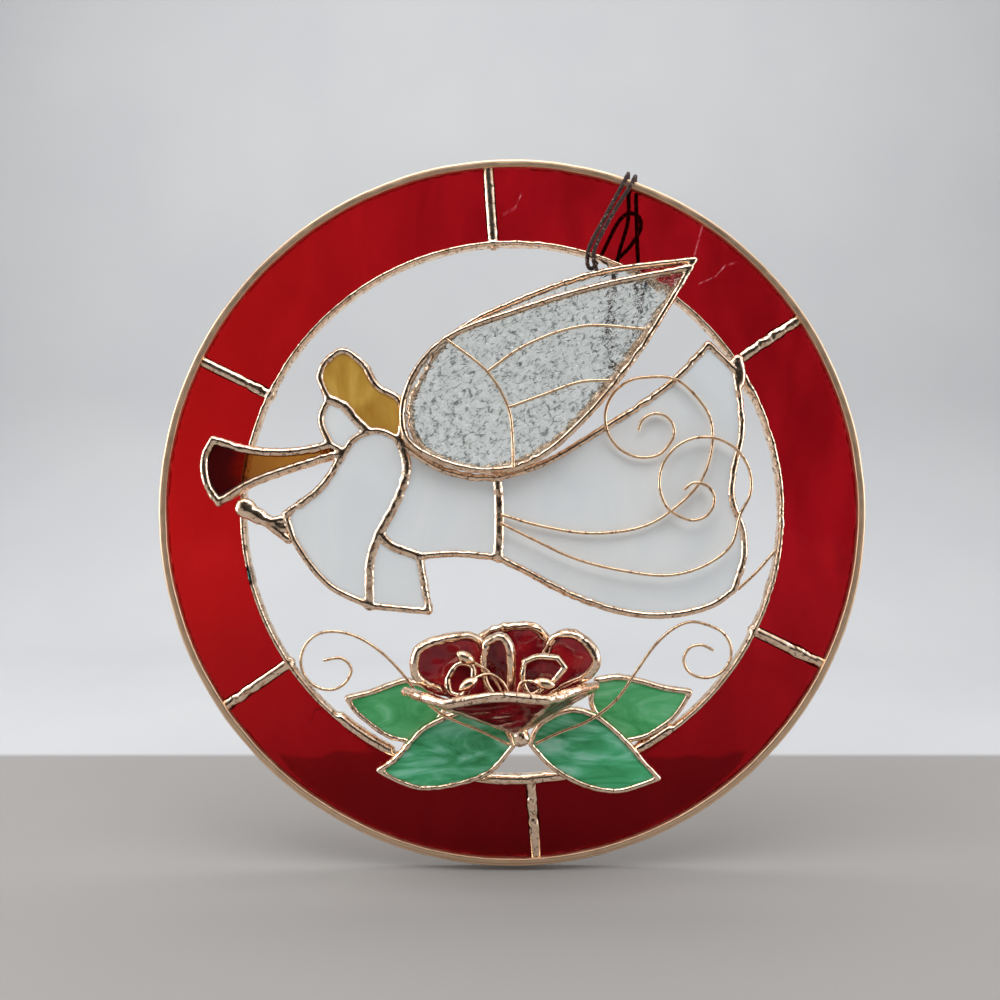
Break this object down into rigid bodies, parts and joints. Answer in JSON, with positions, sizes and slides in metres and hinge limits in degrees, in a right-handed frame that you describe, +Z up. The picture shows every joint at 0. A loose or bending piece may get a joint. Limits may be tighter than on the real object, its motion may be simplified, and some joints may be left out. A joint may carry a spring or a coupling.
{
  "type": "round stained glass panel",
  "caption": "Round hanging panel of stained glass in a copper hoop: a flying angel with a trumpet in a red glass ring, above a rose of standing petals on leaves.",
  "frame": {"origin": "where the cord's hitch passes over the top of the hoop, at mid-depth, the point the panel hangs from", "axes": "+Z up, +X to the viewer's right, the panel faces -Y, and its thickness runs along Y"},
  "size_m": [0.254, 0.0423, 0.254],
  "materials": {
    "copper": "copper-plated solder, rubbed, with darker patina in the hollows",
    "wire": "bright copper wire",
    "red_glass": "clear ruby red glass, glossy, faintly wavy",
    "rose_glass": "dark red glass with a hammered, sparkling surface",
    "amber_glass": "streaky amber and brown glass, glossy",
    "hair_glass": "opal amber glass with brown streaks, glossy",
    "white_glass": "opal white glass with faint blue-grey streaks, glossy",
    "clear_glass": "clear hammered glass with a faint green tint",
    "leaf_glass": "green glass with white and aqua swirls, glossy",
    "cord": "thin braided cord, dark brown with small light flecks"
  },
  "bodies": {
    "root": {"ring_hoop": "copper", "ring_seams": "copper", "ring_glass_1": "red_glass", "ring_glass_2": "red_glass", "ring_glass_3": "red_glass", "ring_glass_4": "red_glass", "ring_glass_5": "red_glass", "ring_glass_6": "red_glass", "trumpet_glass": "amber_glass", "face_glass": "white_glass", "hair_glass": "hair_glass", "front_sleeve_glass": "white_glass", "rear_sleeve_glass": "white_glass", "torso_glass": "white_glass", "skirt_glass": "white_glass", "angel_seams": "copper", "hand": "copper", "front_wing_glass": "clear_glass", "front_wing_edge": "copper", "rear_wing_glass": "clear_glass", "rear_wing_edge": "copper", "front_wing_wires": "wire", "skirt_scroll_upper": "wire", "skirt_scroll_lower": "wire", "hem_tie_wire": "wire", "leaf_upper_left_glass": "leaf_glass", "leaf_upper_left_edge": "copper", "leaf_upper_right_glass": "leaf_glass", "leaf_upper_right_edge": "copper", "leaf_lower_left_glass": "leaf_glass", "leaf_lower_left_edge": "copper", "leaf_lower_right_glass": "leaf_glass", "leaf_lower_right_edge": "copper", "flower_scroll_left": "wire", "flower_scroll_right": "wire", "rose_left_glass": "rose_glass", "rose_left_edge": "copper", "rose_right_glass": "rose_glass", "rose_right_edge": "copper", "rose_back_glass": "rose_glass", "rose_back_edge": "copper", "rose_centre_glass": "rose_glass", "rose_centre_edge": "copper", "rose_inner_right_glass": "rose_glass", "rose_inner_right_edge": "copper", "rose_inner_left_glass": "rose_glass", "rose_inner_left_edge": "copper", "rose_front_left_glass": "rose_glass", "rose_front_glass": "rose_glass", "rose_front_right_glass": "rose_glass", "rose_cup_seams": "copper", "rose_stamen_1": "wire", "rose_stamen_2": "wire", "rose_stamen_3": "wire", "hanging_cord": "cord", "cord_knot": "cord"}
  },
  "joints": []
}
